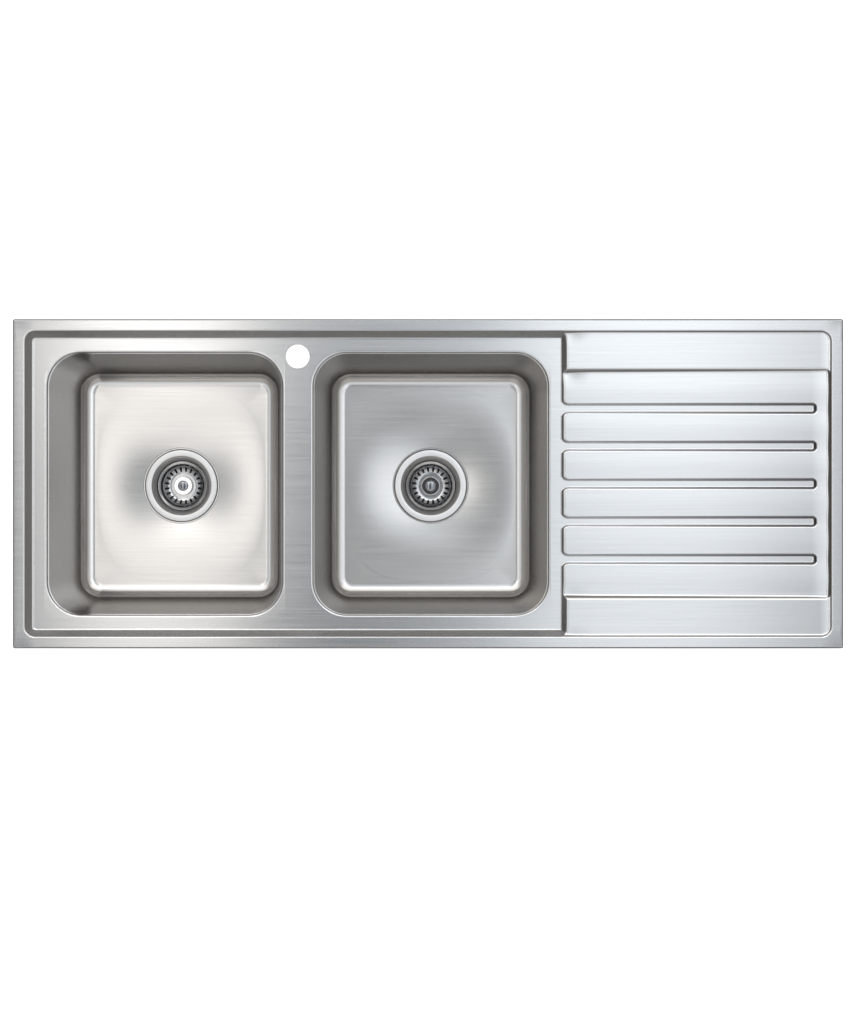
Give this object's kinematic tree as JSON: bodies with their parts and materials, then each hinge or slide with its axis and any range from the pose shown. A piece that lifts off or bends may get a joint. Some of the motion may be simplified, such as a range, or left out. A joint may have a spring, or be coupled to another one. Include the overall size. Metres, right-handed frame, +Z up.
{
  "type": "kitchen sink",
  "caption": "Inset stainless steel kitchen sink with square bowls side by side, basket strainer wastes, a tap hole on the divider and a ribbed drainer on the right",
  "frame": {"origin": "middle of the outline, on the worktop's surface under the rim", "axes": "+X towards the drainer, +Y to the back where the tap hole is, +Z up"},
  "size_m": [1.235, 0.49, 0.3049],
  "materials": {
    "satin_steel": "satin stainless steel",
    "polished_steel": "polished stainless steel",
    "stem_steel": "plain turned steel",
    "zinc_steel": "zinc plated steel",
    "brass": "plain brass",
    "seal_rubber": "matt black rubber",
    "waste_plastic": "dark grey moulded plastic",
    "hub_plastic": "black moulded plastic",
    "foam": "grey closed-cell foam",
    "pad_bitumen": "black bitumen felt"
  },
  "bodies": {
    "sink": {"sink_deck": "satin_steel", "rim_seal": "foam", "clip_tabs": "zinc_steel", "fixing_clips": "zinc_steel", "clip_screws": "zinc_steel", "left_bowl": "satin_steel", "left_waste_flange": "polished_steel", "left_flange_gasket": "seal_rubber", "left_body_gasket": "seal_rubber", "left_waste_body": "waste_plastic", "left_boss_insert": "brass", "left_clamp_screw": "brass", "left_sound_pads": "pad_bitumen", "right_bowl": "satin_steel", "right_waste_flange": "polished_steel", "right_flange_gasket": "seal_rubber", "right_body_gasket": "seal_rubber", "right_waste_body": "waste_plastic", "right_boss_insert": "brass", "right_clamp_screw": "brass", "right_sound_pads": "pad_bitumen"},
    "left_plug": {"left_stem": "stem_steel", "left_peg_ring": "stem_steel"},
    "left_strainer": {"left_basket": "polished_steel", "left_plug_seal": "seal_rubber", "left_seal_hub": "hub_plastic", "left_knob": "polished_steel"},
    "right_plug": {"right_stem": "stem_steel", "right_peg_ring": "stem_steel"},
    "right_strainer": {"right_basket": "polished_steel", "right_plug_seal": "seal_rubber", "right_seal_hub": "hub_plastic", "right_knob": "polished_steel"}
  },
  "joints": [
    {"name": "left_plug_lift", "type": "slide", "parent": "sink", "child": "left_plug", "axis": [0, 0, 1], "range_m": [0, 0.27]},
    {"name": "left_basket_turn", "type": "hinge", "parent": "left_plug", "child": "left_strainer", "pos_m": [-0.393, 0, -0.23], "axis": [0, 0, 1], "continuous": true},
    {"name": "right_plug_lift", "type": "slide", "parent": "sink", "child": "right_plug", "axis": [0, 0, 1], "range_m": [0, 0.27]},
    {"name": "right_basket_turn", "type": "hinge", "parent": "right_plug", "child": "right_strainer", "pos_m": [0.004, 0, -0.23], "axis": [0, 0, 1], "continuous": true}
  ]
}
